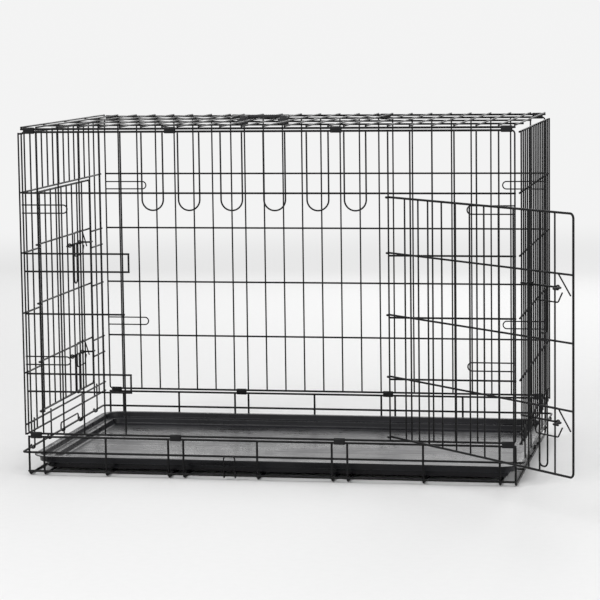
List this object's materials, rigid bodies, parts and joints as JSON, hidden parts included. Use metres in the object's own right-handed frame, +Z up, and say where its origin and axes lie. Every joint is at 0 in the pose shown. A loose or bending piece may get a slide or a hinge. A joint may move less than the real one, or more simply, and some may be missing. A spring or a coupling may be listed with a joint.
{
  "type": "dog cage",
  "caption": "Folding wire dog cage with a plastic floor tray, a wide side door standing open, an end door with slide bolts, hinge clips and a carry handle.",
  "frame": {"origin": "floor level under the middle of the cage", "axes": "+X along the long side to the right, +Y from the open door's side to the back, +Z up"},
  "size_m": [1.0653, 0.92, 0.6533],
  "materials": {
    "wire": "satin",
    "clip": "satin",
    "tray_plastic": "matte",
    "handle_plastic": "satin"
  },
  "bodies": {
    "basket": {"floor_wires": "wire", "front_risers": "wire", "back_risers": "wire", "basket_rails": "wire", "floor_cross_wires": "wire", "left_end_rail": "wire", "right_end_rail": "wire", "basket_front_clips": "clip", "basket_back_clips": "clip"},
    "front_panel": {"front_rails": "wire", "front_verticals": "wire", "front_cross_wires": "wire", "front_strikes": "wire", "door_stop_loops": "wire", "front_corner_loops": "wire"},
    "top_panel": {"top_rails": "wire", "top_cross_wires": "wire", "top_front_clips": "clip", "top_back_clips": "clip"},
    "back_panel": {"back_rails": "wire", "back_verticals": "wire", "back_cross_wires": "wire", "back_corner_loops": "wire"},
    "left_end": {"left_end_verticals": "wire", "left_end_cross_wires": "wire", "left_end_hinges": "wire", "left_strikes": "wire"},
    "right_end": {"right_end_verticals": "wire", "right_end_cross_wires": "wire", "right_end_hinges": "wire"},
    "front_door": {"front_door_frame": "wire", "front_door_cross_wires": "wire", "front_door_verticals": "wire", "front_door_latch_guards": "wire", "front_door_guide_rings": "wire"},
    "left_door": {"left_door_frame": "wire", "left_door_cross_wires": "wire", "left_door_verticals": "wire", "left_door_latch_guards": "wire", "left_door_guide_rings": "wire"},
    "front_upper_bolt": {"front_door_upper_bolt": "wire"},
    "front_lower_bolt": {"front_door_lower_bolt": "wire"},
    "left_upper_bolt": {"left_door_upper_bolt": "wire"},
    "left_lower_bolt": {"left_door_lower_bolt": "wire"},
    "tray": {"tray": "tray_plastic"},
    "tray_stop": {"tray_stop": "wire"},
    "carry_handle": {"carry_handle": "handle_plastic"},
    "fold_hook": {"fold_hook": "wire"}
  },
  "joints": [
    {"name": "front_fold", "type": "hinge", "parent": "basket", "child": "front_panel", "pos_m": [0, -0.28, 0.078], "axis": [-1, 0, 0], "range_deg": [0, 25]},
    {"name": "top_fold", "type": "hinge", "parent": "front_panel", "child": "top_panel", "pos_m": [0, -0.28, 0.6355], "axis": [-1, 0, 0], "range_deg": [-25, 0]},
    {"name": "back_fold", "type": "hinge", "parent": "basket", "child": "back_panel", "pos_m": [0, 0.28, 0.078], "axis": [-1, 0, 0], "range_deg": [0, 25]},
    {"name": "left_end_fold", "type": "hinge", "parent": "basket", "child": "left_end", "pos_m": [-0.46585, 0, 0.042], "axis": [0, 1, 0], "range_deg": [0, 88]},
    {"name": "right_end_fold", "type": "hinge", "parent": "basket", "child": "right_end", "pos_m": [0.46585, 0, 0.042], "axis": [0, -1, 0], "range_deg": [0, 90]},
    {"name": "front_door_swing", "type": "hinge", "parent": "front_panel", "child": "front_door", "pos_m": [0.226, -0.28, 0.301], "axis": [0, 0, -1], "range_deg": [-25, 135]},
    {"name": "left_door_swing", "type": "hinge", "parent": "left_end", "child": "left_door", "pos_m": [-0.462, -0.1602, 0.301], "axis": [0, 0, -1], "range_deg": [-110, 0]},
    {"name": "front_upper_bolt_slide", "type": "slide", "parent": "front_door", "child": "front_upper_bolt", "axis": [0.7071, -0.7071, 0], "range_m": [0, 0.012]},
    {"name": "front_lower_bolt_slide", "type": "slide", "parent": "front_door", "child": "front_lower_bolt", "axis": [0.7071, -0.7071, 0], "range_m": [0, 0.012]},
    {"name": "left_upper_bolt_slide", "type": "slide", "parent": "left_door", "child": "left_upper_bolt", "axis": [0, 1, 0], "range_m": [0, 0.012]},
    {"name": "left_lower_bolt_slide", "type": "slide", "parent": "left_door", "child": "left_lower_bolt", "axis": [0, 1, 0], "range_m": [0, 0.012]},
    {"name": "tray_slide", "type": "slide", "parent": "basket", "child": "tray", "axis": [-1, 0, 0], "range_m": [0, 0.96]},
    {"name": "tray_stop_swing", "type": "hinge", "parent": "basket", "child": "tray_stop", "pos_m": [-0.46585, 0, 0.042], "axis": [0, -1, 0], "range_deg": [0, 165]},
    {"name": "handle_swing", "type": "hinge", "parent": "top_panel", "child": "carry_handle", "pos_m": [-0.05925, 0, 0.64125], "axis": [1, 0, 0], "range_deg": [0, 90]},
    {"name": "fold_hook_swing", "type": "hinge", "parent": "basket", "child": "fold_hook", "pos_m": [-0.0705, -0.28383, 0.00834], "axis": [1, 0, 0], "range_deg": [0, 85]}
  ],
  "couplings": [
    {"joint": "top_fold", "follows": "front_fold", "ratio": -1},
    {"joint": "back_fold", "follows": "front_fold", "ratio": 1}
  ]
}
